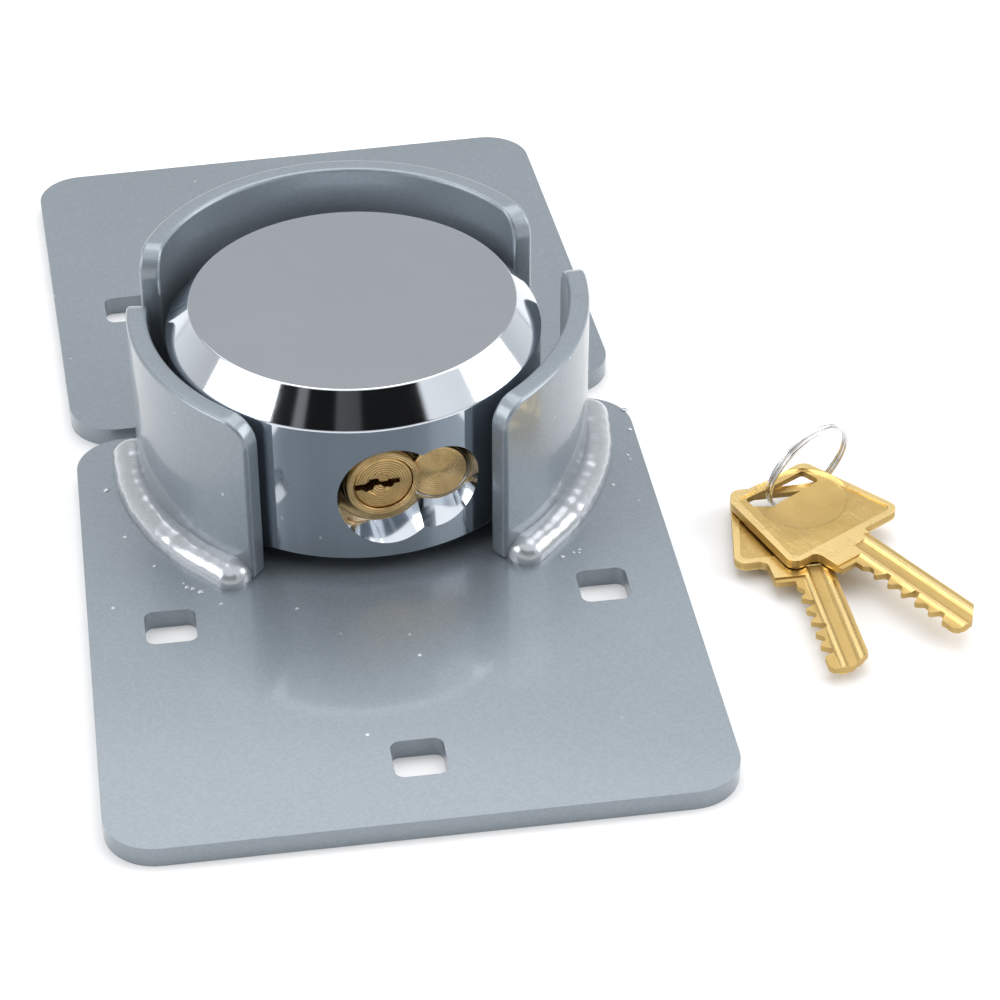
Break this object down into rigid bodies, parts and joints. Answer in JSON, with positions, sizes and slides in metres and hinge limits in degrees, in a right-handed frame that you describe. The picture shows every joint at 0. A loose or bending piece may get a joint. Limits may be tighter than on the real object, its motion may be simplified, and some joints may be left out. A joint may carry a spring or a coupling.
{
  "type": "door hasp with hidden-bolt round padlock",
  "caption": "Two-plate welded door hasp with curved guards, a round hidden-bolt key padlock over its staples, and keys on a split ring.",
  "frame": {"origin": "centre of the front plate's flat back face", "axes": "+Z out of the door face through the plates, -Y from the lock towards the front plate's free end, +Y towards the rear plate, +X to the right seen from the key side"},
  "size_m": [0.1684, 0.2318, 0.0477],
  "materials": {
    "plate_paint": "silver-grey metallic gloss coat",
    "lock_chrome": "polished chrome",
    "cylinder_brass": "turned brass",
    "key_brass": "stamped and milled brass",
    "ring_nickel": "bright nickel wire",
    "bare_steel": "zinc-plated steel",
    "hardware": "plain steel"
  },
  "bodies": {
    "hasp": {"front_plate": "plate_paint", "rear_plate": "plate_paint", "guard_left": "plate_paint", "guard_right": "plate_paint", "guard_rear": "plate_paint", "weld_left": "plate_paint", "weld_right": "plate_paint", "weld_rear": "plate_paint", "staple_front": "bare_steel", "staple_rear": "bare_steel"},
    "padlock": {"lock_body": "lock_chrome", "base_cover": "bare_steel", "cover_screw_1": "hardware", "cover_screw_2": "hardware", "cover_screw_3": "hardware", "cover_screw_4": "hardware", "bolt_cradle": "bare_steel", "cylinder_shell": "cylinder_brass", "cylinder_screw": "hardware", "driver_pin_1": "hardware", "driver_pin_2": "hardware", "driver_pin_3": "hardware", "driver_pin_4": "hardware", "pin_spring_1": "hardware", "pin_spring_2": "hardware", "pin_spring_3": "hardware", "pin_spring_4": "hardware"},
    "bolt": {"locking_bolt": "bare_steel"},
    "plug_unit": {"plug": "cylinder_brass", "drive_pinion": "bare_steel", "pinion_clip": "hardware", "key_pin_1": "cylinder_brass", "key_pin_2": "cylinder_brass", "key_pin_3": "cylinder_brass", "key_pin_4": "cylinder_brass"},
    "key_set": {"split_ring": "ring_nickel", "key_lower": "key_brass"},
    "loose_key": {"key_upper": "key_brass"}
  },
  "joints": [
    {"name": "padlock_lift", "type": "slide", "parent": "hasp", "child": "padlock", "axis": [0, 0, 1], "range_m": [0, 0.05]},
    {"name": "key_turn", "type": "hinge", "parent": "padlock", "child": "plug_unit", "pos_m": [-0.00025, 0.02533, 0.0218], "axis": [-0.1219, 0.9925, 0], "range_deg": [0, 180]},
    {"name": "bolt_slide", "type": "slide", "parent": "padlock", "child": "bolt", "axis": [0.9925, 0.1219, 0], "range_m": [0, 0.0181]},
    {"name": "keys_lift", "type": "slide", "parent": "hasp", "child": "key_set", "axis": [0, 0, 1], "range_m": [0, 0.05]},
    {"name": "key_swing", "type": "hinge", "parent": "key_set", "child": "loose_key", "pos_m": [0.0795, 0.01845, 0.006], "axis": [0, 0, 1], "range_deg": [-18, 18]}
  ],
  "couplings": [
    {"joint": "bolt_slide", "follows": "key_turn", "m_per_rad": 0.00575}
  ]
}
